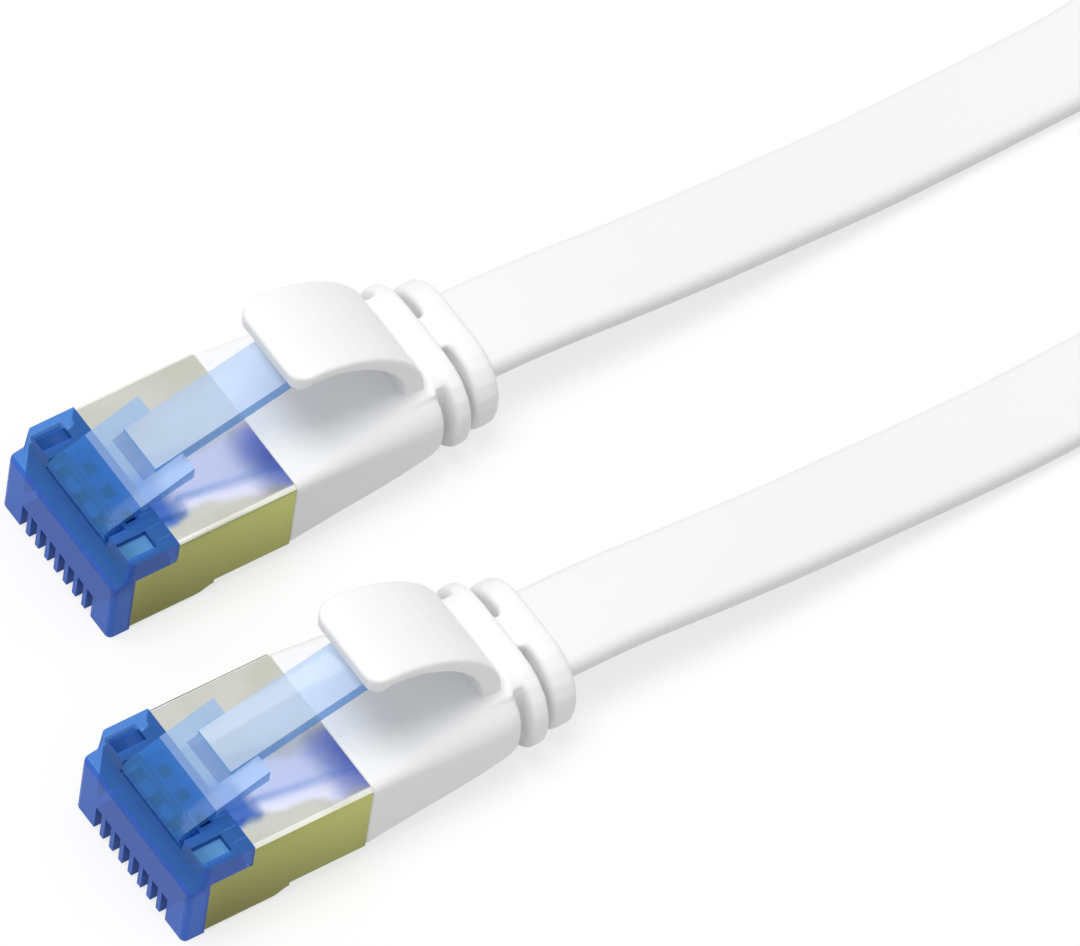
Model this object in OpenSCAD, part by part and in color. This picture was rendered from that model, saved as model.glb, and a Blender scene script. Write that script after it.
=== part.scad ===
// Flat shielded patch cable: two 8-way modular plugs on one ribbon cable.
// X runs from a plug's nose to its cable, +Z is up and the plugs lie on z = 0.
// Lengths are in millimetres. Each plug is built nose first at x = 0, y = 0.

/* [Plug body] */
// Width of a plug across its sides
plug_w = 11.7; // [11.3:0.1:12.3]
// Height of a plug without its latch
plug_h = 6.6; // [6.4:0.1:7.2]
// Length of a plug's body from its front face to the boot
body_len = 12.9; // [12.5:0.1:13.6]
// Height of the lower nose block, below the step
nose_h = 4.85; // [4.6:0.05:5.2]
// How far the upper nose lies behind the front face
nose_setback = 1.1; // [0.7:0.1:1.5]
// Length of the housing's tail inside the boot
tail_len = 2.7; // [2:0.1:3]
// Width of the housing's tail
tail_w = 9; // [8.6:0.1:9.4]
// Height of the tail's underside
tail_z = 1.2; // [0.9:0.1:1.5]

// Height of the underside behind the contacts
rear_lift = 0.65; // [0.5:0.05:0.8]
// Where the underside begins to rise
lift_x = 5.8; // [5.7:0.1:6]
// Depth of the two pockets on top of the nose
pocket_depth = 0.4; // [0.3:0.05:0.5]

/* [Contacts and conductors] */
// Distance between neighbouring contacts
contact_pitch = 1.02; // [0.98:0.01:1.06]
// Thickness of a contact blade
contact_t = 0.35; // [0.25:0.05:0.45]
// Length of a contact blade
contact_len = 4.4; // [4:0.1:4.6]
// How far a blade's front edge lies behind the front face
contact_inset = 0.9; // [0.6:0.1:1.2]
// How far a blade's lower edge lies above the plug's underside
contact_z = 0.55; // [0.4:0.05:0.7]
// Width of the open slot round a blade
slot_w = 0.62; // [0.55:0.01:0.68]
// Height of the open slot
slot_h = 2; // [1.8:0.1:2.2]
// Length of the open slot along the underside
slot_len = 5.6; // [5.5:0.1:5.7]
// Diameter of an insulated conductor
wire_d = 0.75; // [0.65:0.01:0.77]
// Distance between conductors inside the flat jacket
jacket_pitch = 0.79; // [0.78:0.01:0.81]
// Height of the conductors over the contacts
wire_z = 3.3; // [3.2:0.05:3.4]
// Length of the conductor bores in front of the load bar
bore_len = 4.9; // [4.7:0.1:5.2]

/* [Load bar] */
// Length of the load bar
bar_len = 5.6; // [5:0.1:6]
// Width of the load bar
bar_w = 8.9; // [8.7:0.1:9.2]
// Height of the load bar
bar_h = 2; // [1.8:0.1:2.2]

/* [Shield] */
// Thickness of the shield's sheet
shield_t = 0.25; // [0.2:0.01:0.3]
// Front edge of the shield's top
shield_top_x = 4.5; // [4.2:0.1:4.9]
// Front edge of the shield's lower sides
shield_side_x = 1.5; // [1.2:0.1:1.9]
// Front edge of the shield's underside
shield_base_x = 7.5; // [7:0.1:8]
// Outer radius of the shield's long edges
shield_r = 0.4; // [0.35:0.05:0.5]
// Fillet radius in the side's step
step_r = 0.5; // [0.3:0.1:0.8]
// Width of the strip that joins shield and crimp band
neck_w = 4; // [3:0.5:5]
// Length of the crimp band round the jacket
crimp_len = 2.4; // [2:0.1:2.8]

/* [Latch] */
// Width of the latch plate
latch_w = 6.2; // [5.8:0.1:6.4]
// Width of the narrow lever
lever_w = 3.5; // [3.2:0.1:4]
// Distance from the latch's hinge line to its shoulders
plate_len = 5.65; // [5.3:0.05:6]
// Distance from the latch's hinge line to the lever's tip
lever_len = 14.9; // [14.5:0.1:15.2]
// Slope of the latch plate
plate_slope = 21.5; // [20:0.5:23]
// How far the lever's thick root reaches in front of the shoulders
lever_root = 1.9; // [1.6:0.1:2.2]
// How far the lever's top stands above the shoulders
lever_rise = 0.15; // [0.1:0.05:0.25]
// Clear height between the lever's tip and the tongue over it
lever_gap = 0.6; // [0.5:0.05:0.8]
// Thickness of the lever
lever_t = 0.95; // [0.8:0.05:1.1]
// Thickness of the plate beside its hinge
plate_root_t = 0.45; // [0.35:0.05:0.5]
// Radius of the rounded hinge root
latch_root_r = 0.6; // [0.5:0.05:0.65]
// Running gap round the hinge roots
hinge_gap = 0.22; // [0.2:0.01:0.25]

/* [Latch guard] */
// Width of the tongue over the lever
guard_w = 6.9; // [6.4:0.1:7.2]
// Highest point of the tongue
guard_h = 13.55; // [13.3:0.05:13.9]
// Thickness of the tongue over the lever
guard_t = 0.9; // [0.7:0.05:1]
// Front edge of the tongue
guard_front_x = 13.8; // [13.4:0.1:14.2]
// Front edge of the arch, where the tongue begins to curve down
guard_crown_x = 15.05; // [14.9:0.05:15.3]
// Distance from the crown to the outside of the tongue's foot
guard_span = 8.7; // [8.5:0.05:8.75]
// Depth of the lip along the front edge
guard_lip = 1.35; // [1.1:0.05:1.5]
// Corner radius of the front edge seen from above
guard_corner_r = 1.3; // [0.8:0.1:1.6]
// Radius of the rounded foot
guard_root_r = 0.75; // [0.65:0.05:0.78]

/* [Boot] */
// Length of the boot's body
boot_len = 11.35; // [11.3:0.05:12]
// Width at the body's rear end
boot_end_w = 9.8; // [9.4:0.1:10.4]
// Height of the underside at the body's rear end
boot_end_z = 1.25; // [0.9:0.05:1.5]
// Edge radius at the front
boot_front_r = 0.6; // [0.4:0.1:1]
// Edge radius at the rear
boot_end_r = 2.2; // [1.8:0.1:2.4]
// Length of the front slot
slot_1_len = 0.65; // [0.5:0.05:0.9]
// Length of the front ring
ring_1_len = 1.9; // [1.6:0.1:2.2]
// Width of the front ring
ring_1_w = 10.2; // [9.8:0.1:10.8]
// Underside of the front ring
ring_1_z = 0.5; // [0.3:0.1:0.8]
// Top of the front ring
ring_1_top = 7.2; // [6.9:0.1:7.5]
// Length of the rear slot
slot_2_len = 0.65; // [0.5:0.05:0.9]
// Length of the rear ring
ring_2_len = 1.45; // [1.2:0.05:1.8]
// Width of the rear ring
ring_2_w = 9.1; // [8.8:0.1:9.6]
// Underside of the rear ring
ring_2_z = 0.3; // [0.2:0.1:0.6]
// Top of the rear ring
ring_2_top = 6.8; // [6.6:0.1:7.1]
// Rounding of the rings' rims
rim_r = 0.45; // [0.3:0.05:0.55]
// Width of the web between body and front ring
web_1_w = 7; // [6.6:0.1:7.4]
// Depth of the groove over the front web
web_1_groove = 0.4; // [0.3:0.05:0.6]
// Width of the webs between the two rings
web_2_w = 2.3; // [2:0.1:3]

/* [Cable] */
// Width of the flat jacket
cable_w = 6.6; // [6.4:0.1:6.8]
// Thickness of the flat jacket
cable_t = 1.7; // [1.5:0.05:1.8]
// Height of the cable inside the plug
cable_z = 4.2; // [4.1:0.05:4.3]
// Clearance of fixed pieces in their seats
fit = 0.05; // [0.03:0.01:0.08]
// Distance between the two plugs across the cable's direction
plug_gap = 20.89; // [18:0.1:26]
// How far plug B lies ahead of plug A
plug_stagger = 8.29; // [6:0.1:10]

/* [Hank] */
// Radius of the hank's round ends at its first loop
hank_r = 20.5; // [20:0.1:22]
// Length of the runs between the round ends
hank_run = 47; // [44:1:56]
// How far the runs are drawn in at the waist
waist = 8; // [6:0.5:9]
// Distance from loop to loop
loop_pitch = 2.8; // [2.8:0.05:3]
// Clear height between the hank's two layers
layer_gap = 0.7; // [0.6:0.1:1]
// Width of the tie round the waist
tie_w = 4; // [3:0.5:6]
// Thickness of the tie
tie_t = 0.6; // [0.5:0.1:0.8]

/* [Hidden] */
SIDES = ["a", "b"];
WAYS = 8;
plug_nodes = ["housing", "latch", "load_bar", "shield", "boot", "latch_guard"];

$fn = 48;
CUT = 1;
WIRE_COLOURS = ["navajowhite", "orange", "honeydew", "royalblue",
    "lightsteelblue", "seagreen", "tan", "saddlebrown"];

// Places along a plug
plug_len = body_len + boot_len + slot_1_len + ring_1_len + slot_2_len + ring_2_len;
slot_1_x = body_len + boot_len;
ring_1_x = slot_1_x + slot_1_len;
slot_2_x = ring_1_x + ring_1_len;
ring_2_x = slot_2_x + slot_2_len;
plug_x = [-(plug_len + plug_stagger) / 2 + plug_stagger, -(plug_len + plug_stagger) / 2];
plug_y = [plug_gap / 2, -plug_gap / 2];

// Inside a plug
core_w = plug_w - 2 * shield_t;
bar_x = contact_inset + bore_len + 0.8;
bar_z = wire_z - bar_h / 2;
bar_end = bar_x + bar_len;
tail_x = body_len + tail_len;
jacket_x = tail_x + 0.6;
crimp_x = jacket_x + 0.2;
cavity_x = crimp_x + crimp_len + 0.4;
neck_z = cable_z + cable_t / 2 + fit + shield_t;

// Latch and guard
latch_x = 1.45;
latch_z = plug_h - 0.25;
plate_top = latch_z + latch_root_r / cos(plate_slope);
shoulder_z = plate_top + plate_len * tan(plate_slope);
guard_hinge_x = guard_crown_x + guard_span - guard_root_r;
guard_hinge_z = plug_h + 0.15;
guard_inner_h = guard_h - guard_t;
lever_end_z = guard_inner_h - lever_gap;
lever_slope = atan((lever_end_z - shoulder_z - lever_rise) / (lever_len - plate_len));
guard_bend = 1.75;
root_bulge = 0.05;

// Hank: 24 steps to a loop, in on the lower layer and out on the upper one
HANK_LEFT = [100, 1];
LOOP_STEPS = 24;
HANK_STEPS = 90;
TURN_BACK = 39;
hank_base = tie_t + fit;
layer_z = [hank_base + cable_w / 2, hank_base + cable_w * 1.5 + layer_gap];
hank_lead = 7;

// Centre line of each run from its plug to the hank: x, y, z and twist in degrees
RUN_A = [[24, 10.4, 4.0, 0], [30, 10.3, 3.5, 0], [36, 10.4, 2.8, 0], [42, 10.7, 2.0, 0],
    [48, 10.9, 1.4, 0], [54, 11.2, 1.0, 0], [60, 11.4, 0.9, 0], [66, 11.6, 1.0, 2],
    [70, 12.1, 1.5, 15], [74, 13.0, 2.3, 34], [78, 14.2, 3.1, 56], [82, 15.7, 3.6, 75]];
RUN_B = [[16, -10.4, 4.0, 0], [22, -10.5, 3.5, 0], [28, -10.4, 2.8, 0], [34, -10.1, 2.0, 0],
    [40, -9.9, 1.4, 0], [46, -9.7, 1.0, 0], [53, -9.4, 0.9, 0], [58, -9.4, 1.2, 4],
    [62, -9.5, 1.9, 12], [66, -9.8, 3.0, 24], [70, -10.4, 4.6, 40], [74, -11.5, 6.6, 57],
    [78, -13.0, 8.8, 73], [82, -15.0, 10.5, 85]];

// ---- Helpers ----

// Extrudes a (y, z) outline from x0 to x1
module along_x(x0, x1)
    translate([x0, 0, 0]) rotate([90, 0, 90]) linear_extrude(x1 - x0) children();

// Extrudes an (x, z) outline to a width w, centred on y = 0
module across(w)
    rotate([90, 0, 0]) linear_extrude(w, center = true) children();

// Rectangle with true round corners, centred on its width, from z0 to z1
module rounded_rect(w, z0, z1, r) {
    translate([-w / 2 + r, z0]) square([w - 2 * r, z1 - z0]);
    translate([-w / 2, z0 + r]) square([w, z1 - z0 - 2 * r]);
    for (y = [-w / 2 + r, w / 2 - r], z = [z0 + r, z1 - r]) translate([y, z]) circle(r);
}

// Box from x0 to x1 and z0 to z1, centred on y = 0
module slab(x0, x1, w, z0, z1)
    translate([x0, -w / 2, z0]) cube([x1 - x0, w, z1 - z0]);

// Closed skin over equal rings of points that run anticlockwise about the way ahead
module loft(rings) {
    n = len(rings[0]);
    last = (len(rings) - 1) * n;
    polyhedron(
        points = [for (ring = rings) each ring],
        faces = concat(
            [for (i = [0:len(rings) - 2], j = [0:n - 1])
                let (a = i * n + j, d = i * n + (j + 1) % n)
                each [[a, a + n, d + n], [a, d + n, d]]],
            [for (j = [1:n - 2]) [0, j, j + 1]],
            [for (j = [1:n - 2]) [last, last + j + 1, last + j]]));
}

// Ring of points round a rounded rectangle at x
function rounded_ring(x, w, z0, z1, r, steps = 5) =
    [for (q = [0:3], k = [0:steps])
        let (a = 90 * (q + k / steps),
            y = (q == 0 || q == 3 ? 1 : -1) * (w / 2 - r),
            z = q < 2 ? z1 - r : z0 + r)
        [x, y + r * cos(a), z + r * sin(a)]];

// Same ring drawn in on all sides by d
function inset_ring(x, w, z0, z1, r, d) =
    rounded_ring(x, w - 2 * d, z0 + d, z1 - d, r - d);

function mix(a, b, f) = a + (b - a) * f;
function unit(v) = v / norm(v);
function way_y(i, pitch) = (i - (WAYS + 1) / 2) * pitch;

// Moves a plug's piece from its own frame to its place
module place(side) translate([plug_x[side], plug_y[side], 0]) children();

// ---- Plug housing ----

// Side outline of the part of the nose that is as wide as the plug
module nose_outline()
    polygon([[0, 0], [shield_side_x, 0], [shield_side_x, nose_h], [shield_top_x, nose_h],
        [shield_top_x, plug_h], [nose_setback, plug_h], [nose_setback - 0.2, nose_h + 0.25],
        [0, nose_h]]);

// Space under the plug where its underside rises to the rear
module lift_cut()
    across(plug_w + CUT) polygon([[lift_x, -CUT], [lift_x, 0], [shield_base_x - 0.2, rear_lift],
        [shield_base_x, rear_lift], [shield_base_x, -CUT]]);

// Section through the sheet-clad part of the plug: the shield's outside, or the core inside it
module clad_section(x0, x1, t, z0 = 0)
    along_x(x0, x1)
        rounded_rect(plug_w - 2 * t, z0 + t, plug_h - t, shield_r - t);

module housing() color("royalblue", 0.6) difference() {
    union() {
        across(plug_w) nose_outline();
        clad_section(shield_side_x - 0.3, shield_base_x, shield_t);
        clad_section(shield_base_x - 0.3, body_len, shield_t, rear_lift);
        slab(shield_side_x - 0.3, shield_base_x, core_w, 0, nose_h - 1);
        slab(body_len - CUT, tail_x, tail_w, tail_z, neck_z + shield_t);
    }
    lift_cut();
    for (y = [-1, 1]) translate([0, y * 4.65, 0])
        slab(nose_setback, shield_top_x - 1.3, 1.3, plug_h - pocket_depth, plug_h + CUT);
    for (i = [1:WAYS]) translate([0, way_y(i, contact_pitch), 0]) {
        slab(-CUT, slot_len, slot_w, -CUT, slot_h);
        slab(contact_inset, contact_inset + contact_len, contact_t, 0, wire_z);
        translate([contact_inset + 0.8, 0, wire_z]) rotate([0, 90, 0])
            cylinder(h = bore_len + CUT, d = wire_d + 2 * fit);
    }
    slab(bar_x, tail_x + CUT, bar_w + 2 * fit, bar_z - fit, bar_z + bar_h + fit);
    slab(bar_end, tail_x + CUT, tail_w - 0.8, bar_z - fit, cable_z + wire_d / 2 + 0.35);
    translate([latch_x, 0, latch_z]) rotate([90, 0, 0])
        cylinder(h = latch_w + 2 * hinge_gap, r = latch_root_r + hinge_gap, center = true);
    shield_neck();
}

// ---- Contacts, conductors and load bar ----

// Side outline of one blade, with two points that pierce its conductor
module contact_outline() {
    x0 = contact_inset;
    r = 0.7;
    top = wire_z - 0.7;
    translate([x0 + r, contact_z + r]) circle(r);
    translate([x0 + r, contact_z]) square([contact_len - r, top - contact_z]);
    translate([x0, contact_z + r]) square([r + CUT, top - contact_z - r]);
    for (x = [x0 + 1.2, x0 + 2.8])
        polygon([[x, top - 0.1], [x + 0.5, top - 0.1], [x + 0.5, wire_z],
            [x + 0.25, wire_z + 0.2], [x, wire_z]]);
}

module contact(i) color("gold")
    translate([0, way_y(i, contact_pitch), 0]) across(contact_t) contact_outline();

// A conductor runs straight over the contacts and bends into the flat jacket
function wire_ring(x, y, z, sides = 8) =
    [for (k = [0:sides - 1]) let (a = 360 * (k + 0.5) / sides)
        [x, y + wire_d / 2 * cos(a), z + wire_d / 2 * sin(a)]];

module wire(i) {
    x0 = contact_inset + 0.9;
    x1 = bar_end + 0.2;
    bend = [for (k = [0:5]) let (f = k / 5, s = f * f * (3 - 2 * f))
        wire_ring(mix(x1, jacket_x, f), mix(way_y(i, contact_pitch), way_y(i, jacket_pitch), s),
            mix(wire_z, cable_z, s))];
    color(WIRE_COLOURS[i - 1]) difference() {
        loft(concat([wire_ring(x0, way_y(i, contact_pitch), wire_z)], bend));
        translate([0, way_y(i, contact_pitch), 0]) across(contact_t) contact_outline();
    }
}

module load_bar() color("lightcyan") difference() {
    slab(bar_x, bar_end, bar_w, bar_z, bar_z + bar_h);
    for (i = [1:WAYS]) translate([bar_x - CUT, way_y(i, contact_pitch), wire_z])
        rotate([0, 90, 0]) cylinder(h = bar_len + 2 * CUT, d = wire_d + 2 * fit);
}

// ---- Shield ----

// Side outline of the shield, with the filleted step in its front edge
module shield_outline() {
    translate([shield_side_x, 0]) square([body_len - shield_side_x, nose_h]);
    translate([shield_top_x, 0]) square([body_len - shield_top_x, plug_h]);
    translate([shield_top_x - step_r, nose_h]) difference() {
        square(step_r);
        translate([0, step_r]) circle(step_r);
    }
}

// Joggled strip from the shield's rear edge to the crimp band
module shield_neck() {
    slab(body_len - shield_t, body_len, neck_w, neck_z, plug_h);
    slab(body_len - shield_t, crimp_x + crimp_len, neck_w, neck_z, neck_z + shield_t);
}

module shield() color("tan") {
    difference() {
        intersection() {
            union() {
                clad_section(0, shield_base_x, 0);
                clad_section(shield_base_x - CUT, body_len, 0, rear_lift);
            }
            across(plug_w + CUT) shield_outline();
        }
        lift_cut();
        clad_section(-CUT, shield_base_x, shield_t);
        clad_section(shield_base_x - CUT, body_len + CUT, shield_t, rear_lift);
        slab(0, shield_base_x, core_w, -CUT, rear_lift + CUT);
    }
    shield_neck();
    difference() {
        slab(crimp_x, crimp_x + crimp_len, cable_w + 2 * (fit + shield_t),
            cable_z - cable_t / 2 - fit - shield_t, neck_z);
        jacket_bore(0);
    }
}

// Space that the flat jacket takes from x on
module jacket_bore(x) {
    half_t = cable_t / 2 + fit;
    along_x(x, plug_len + CUT)
        rounded_rect(cable_w + 2 * fit, cable_z - half_t, cable_z + half_t, half_t - 0.1);
}

// ---- Latch ----

module latch_outline() {
    shoulder_x = latch_x + plate_len;
    translate([latch_x, latch_z]) circle(latch_root_r);
    polygon([[latch_x - latch_root_r * sin(plate_slope), latch_z + latch_root_r * cos(plate_slope)],
        [shoulder_x, shoulder_z], [shoulder_x, shoulder_z - lever_t],
        [latch_x + latch_root_r + 0.05, plate_top - plate_root_t + 0.3], [latch_x, latch_z]]);
}

module lever_outline() {
    x0 = latch_x + plate_len - lever_root;
    z0 = shoulder_z + lever_rise - lever_root * tan(lever_slope);
    tip_x = latch_x + lever_len;
    drop = lever_t / cos(lever_slope);
    polygon([[x0, z0], [tip_x, lever_end_z], [tip_x + 0.25, lever_end_z - drop + 0.1],
        [tip_x, lever_end_z - drop], [x0, z0 - drop]]);
}

module latch() color("lightskyblue", 0.6) {
    across(latch_w) latch_outline();
    across(lever_w) lever_outline();
}

// ---- Latch guard ----

// Quarter of a superellipse from its crown at x down to its foot
function arch(x, span, height, steps = 12) =
    [for (k = [0:steps]) let (a = 90 * k / steps)
        [x + span * pow(sin(a), 2 / guard_bend),
            guard_hinge_z + (height - guard_hinge_z) * pow(cos(a), 2 / guard_bend)]];

module guard_outline() {
    outer = arch(guard_crown_x, guard_span - root_bulge, guard_h);
    inner = arch(guard_crown_x, guard_span - 2 * guard_root_r + root_bulge, guard_inner_h);
    lip_z = guard_h - guard_lip;
    polygon(concat([[guard_front_x, guard_h - 0.2]], outer,
        [[guard_hinge_x, guard_hinge_z - guard_root_r / 2]],
        [for (k = [len(inner) - 1:-1:0]) inner[k]],
        [[guard_front_x + 0.7, lip_z], [guard_front_x + 0.1, lip_z]]));
}

// Outline of the tongue from above, with its round front corners
module guard_plan() {
    r = guard_corner_r;
    translate([guard_front_x + r, -guard_w / 2]) square([guard_hinge_x, guard_w]);
    translate([guard_front_x, -guard_w / 2 + r]) square([guard_hinge_x, guard_w - 2 * r]);
    for (y = [-1, 1]) translate([guard_front_x + r, y * (guard_w / 2 - r)]) circle(r);
}

module latch_guard() color("whitesmoke") {
    intersection() {
        across(guard_w + CUT) guard_outline();
        linear_extrude(guard_h + CUT) guard_plan();
    }
    translate([guard_hinge_x, 0, guard_hinge_z]) rotate([90, 0, 0])
        cylinder(h = guard_w, r = guard_root_r, center = true);
}

// ---- Boot ----

// Body that tapers from the plug's own section to a rounded end
module boot_body() {
    taper = [for (f = [0, 0.15, 0.35, 0.55, 0.75, 0.93]) let (
            w = mix(plug_w, boot_end_w, pow(f, 1.3)),
            z0 = mix(rear_lift, boot_end_z, pow(f, 1.5)))
        rounded_ring(body_len + f * boot_len, w, z0, plug_h, mix(boot_front_r, boot_end_r, f))];
    rim = [for (k = [2:-1:0]) inset_ring(slot_1_x - rim_r * (1 - cos(30 * k)), boot_end_w,
        boot_end_z, plug_h, boot_end_r, rim_r * (1 - sin(30 * k)))];
    loft(concat(taper, rim));
}

// Oval ring with rounded rims
module ring(x, length, w, z0, z1) {
    r = (z1 - z0) / 2 - 0.3;
    front = [for (k = [0:3]) inset_ring(x + rim_r * (1 - cos(30 * k)), w, z0, z1, r,
        rim_r * (1 - sin(30 * k)))];
    rear = [for (k = [3:-1:0]) inset_ring(x + length - rim_r * (1 - cos(30 * k)), w, z0, z1, r,
        rim_r * (1 - sin(30 * k)))];
    loft(concat(front, rear));
}

module boot() color("white") difference() {
    union() {
        boot_body();
        ring(ring_1_x, ring_1_len, ring_1_w, ring_1_z, ring_1_top);
        ring(ring_2_x, ring_2_len, ring_2_w, ring_2_z, ring_2_top);
        slab(slot_1_x - rim_r, ring_1_x + rim_r, web_1_w, boot_end_z + 0.5, plug_h - web_1_groove);
        slab(slot_2_x - rim_r, ring_2_x + rim_r, web_2_w, ring_1_z + 0.3, ring_2_top - 0.3);
    }
    slab(body_len - CUT, cavity_x, tail_w, tail_z, neck_z + shield_t);
    jacket_bore(cavity_x - CUT);
    translate([guard_hinge_x, 0, guard_hinge_z]) rotate([90, 0, 0])
        cylinder(h = guard_w + 2 * hinge_gap, r = guard_root_r + hinge_gap, center = true);
}

// ---- Flat cable ----

// Outlines of the jacket across its width and thickness
function jacket_8(w = cable_w / 2, t = cable_t / 2) =
    [[w, -t / 2], [w, t / 2], [w - t, t], [t - w, t],
        [-w, t / 2], [-w, -t / 2], [t - w, -t], [w - t, -t]];
function jacket_6(w = cable_w / 2, t = cable_t / 2) =
    [[w, 0], [w - t, t], [t - w, t], [-w, 0], [t - w, -t], [w - t, -t]];

// Ring of jacket points at p, square to the way ahead; a twist of 90 stands it on edge
function jacket_ring(p, ahead, twist, outline) =
    let (side = unit(cross([0, 0, 1], ahead)), up = cross(ahead, side),
        across_w = cos(twist) * side + sin(twist) * up, across_t = cross(ahead, across_w))
    [for (c = outline) p + c.x * across_w + c.y * across_t];

// Spiral's radius, height, centre point and way ahead after k steps
function hank_radius(k) = hank_r - loop_pitch * (TURN_BACK - abs(k - TURN_BACK)) / LOOP_STEPS;
function hank_height(k) = let (f = min(max((k - TURN_BACK) / 4 + 0.5, 0), 1))
    mix(layer_z[0], layer_z[1], f * f * (3 - 2 * f));
function hank_point(k) = let (u = k - 1 - LOOP_STEPS * floor((k - 1) / LOOP_STEPS),
        f = u < 4 ? u / 4 : u < 12 ? 1 : u < 16 ? 4 - u / 4 : 0,
        a = u < 4 ? 90 : u < 12 ? 180 - 22.5 * u : u < 16 ? -90 : 630 - 22.5 * u,
        r = hank_radius(k) - waist * pow(sin(180 * f), 2))
    [HANK_LEFT.x + f * hank_run + r * cos(a), HANK_LEFT.y + r * sin(a), hank_height(k)];
function hank_ahead(k) = let (d = hank_point(k + 0.01) - hank_point(k - 0.01)) unit([d.x, d.y, 0]);
hank_in = hank_point(0) - hank_lead * hank_ahead(0);
hank_out = hank_point(HANK_STEPS) + hank_lead * hank_ahead(HANK_STEPS);
function hank_ring(p, k) = jacket_ring(p, hank_ahead(k), 90, jacket_6());

// Whole route of a run, from inside its boot to the hank's lead
function run_route(side) = let (p = [plug_x[side], plug_y[side], cable_z])
    concat([[p.x + jacket_x, p.y, p.z, 0], [p.x + plug_len, p.y, p.z, 0]],
        side == 0 ? RUN_A : RUN_B,
        [concat(side == 0 ? hank_in : hank_out, 90)]);
function point(q) = [q.x, q.y, q.z];

module cable_run(side) color("white") {
    route = run_route(side);
    last = len(route) - 1;
    loft([for (i = [0:last])
        let (ahead = i <= 1 ? [1, 0, 0]
            : i == last ? (side == 0 ? hank_ahead(0) : -hank_ahead(HANK_STEPS))
            : unit(point(route[i + 1]) - point(route[i - 1])))
        jacket_ring(point(route[i]), ahead, route[i][3], jacket_8())]);
}

module cable_hank() color("white")
    loft(concat([hank_ring(hank_in, 0)],
        [for (k = [0:HANK_STEPS]) hank_ring(hank_point(k), k)],
        [hank_ring(hank_out, HANK_STEPS)]));

// Strap round all the runs at the hank's waist, which widen a little over the tie's width
module hank_tie() {
    wall = cable_t / 2 + 2 * fit - waist + waist * tie_w / hank_run;
    y0 = -hank_radius(HANK_STEPS - 3) - wall;
    y1 = hank_radius(3) + wall;
    top = layer_z[1] + cable_w / 2 + fit;
    color("white") translate([HANK_LEFT.x + (hank_run - tie_w) / 2, HANK_LEFT.y, 0])
        rotate([90, 0, 90]) linear_extrude(tie_w) difference() {
            translate([y0 - tie_t, 0]) square([y1 - y0 + 2 * tie_t, top + tie_t]);
            translate([y0, tie_t]) square([y1 - y0, top - tie_t]);
        }
}

// Measures the hank's least gap to its own loops and the cable's length
function loop_gap(k, other) = let (d = hank_point(other) - hank_point(k))
    max(norm(cross(hank_ahead(k), [d.x, d.y, 0])) - cable_t, abs(d.z) - cable_w);
hank_gap = min([for (k = [0:HANK_STEPS], m = [1:3]) let (other = k + m * LOOP_STEPS)
    if (other <= HANK_STEPS) loop_gap(k, other)]);
function path_length(pts, i = 1) = i >= len(pts) ? 0
    : norm(point(pts[i]) - point(pts[i - 1])) + path_length(pts, i + 1);
hank_length = path_length([for (k = [0:HANK_STEPS]) hank_point(k)]) + 2 * hank_lead;
echo(hank_least_gap = hank_gap, run_a = path_length(run_route(0)), hank = hank_length,
    run_b = path_length(run_route(1)));

// ---- Nodes ----

for (side = [0, 1]) {
    name = str("plug_", SIDES[side], "_");
    place(side) housing();
    place(side) latch();
    place(side) load_bar();
    place(side) shield();
    place(side) boot();
    place(side) latch_guard();
    for (i = [1:WAYS]) {
        place(side) contact(i);
        place(side) wire(i);
    }
}
cable_run(0);  // cable_run_a
cable_hank();
cable_run(1);  // cable_run_b
hank_tie();
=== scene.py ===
import math

import bmesh
import bpy
from mathutils import Matrix, Vector


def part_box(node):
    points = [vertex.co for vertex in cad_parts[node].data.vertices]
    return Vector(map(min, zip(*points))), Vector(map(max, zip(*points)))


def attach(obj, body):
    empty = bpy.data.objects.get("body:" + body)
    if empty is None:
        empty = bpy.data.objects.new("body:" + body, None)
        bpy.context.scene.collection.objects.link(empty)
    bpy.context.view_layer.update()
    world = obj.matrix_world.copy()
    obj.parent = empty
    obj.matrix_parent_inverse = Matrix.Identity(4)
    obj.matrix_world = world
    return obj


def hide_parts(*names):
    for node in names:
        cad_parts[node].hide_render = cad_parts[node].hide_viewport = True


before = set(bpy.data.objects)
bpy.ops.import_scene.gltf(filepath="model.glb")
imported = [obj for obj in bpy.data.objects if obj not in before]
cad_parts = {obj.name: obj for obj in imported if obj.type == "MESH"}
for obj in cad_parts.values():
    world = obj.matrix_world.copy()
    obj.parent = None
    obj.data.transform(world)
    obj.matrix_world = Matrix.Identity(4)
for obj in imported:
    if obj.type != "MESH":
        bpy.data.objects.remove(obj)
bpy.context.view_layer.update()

MM = 0.001
SIDES = ("a", "b")
# Plug origins: the middle of each nose's lower front edge
PLUG_ORIGIN = {"a": Vector((-0.010305, 0.010445, 0)), "b": Vector((-0.018595, -0.010445, 0))}
PLUG_LENGTH = 28.9 * MM

# ---- Measures of the plugs: in mm from a plug's origin, with x to the rear and z up ----

# How near a face's centre counts as on a wall, in mm
NEAR = 0.01
# How much of a face's normal points up, down or along for a level, a steep or a lower face
LEVEL = 0.9
STEEP = 0.7
LOWER = -0.5
CONTACT_PITCH = 1.02

# Nose: half its width, its round front edges and how far back they go, and the angle in degrees
# from which its shading breaks
NOSE_HALF = 5.85
NOSE_ROUND = 0.35
NOSE_ROUND_X = 1.15
NOSE_CREASE = 12
# Its top lies from the pockets' floor up to the outer skin
NOSE_TOP_Z = (5.9, 6.5)
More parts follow.
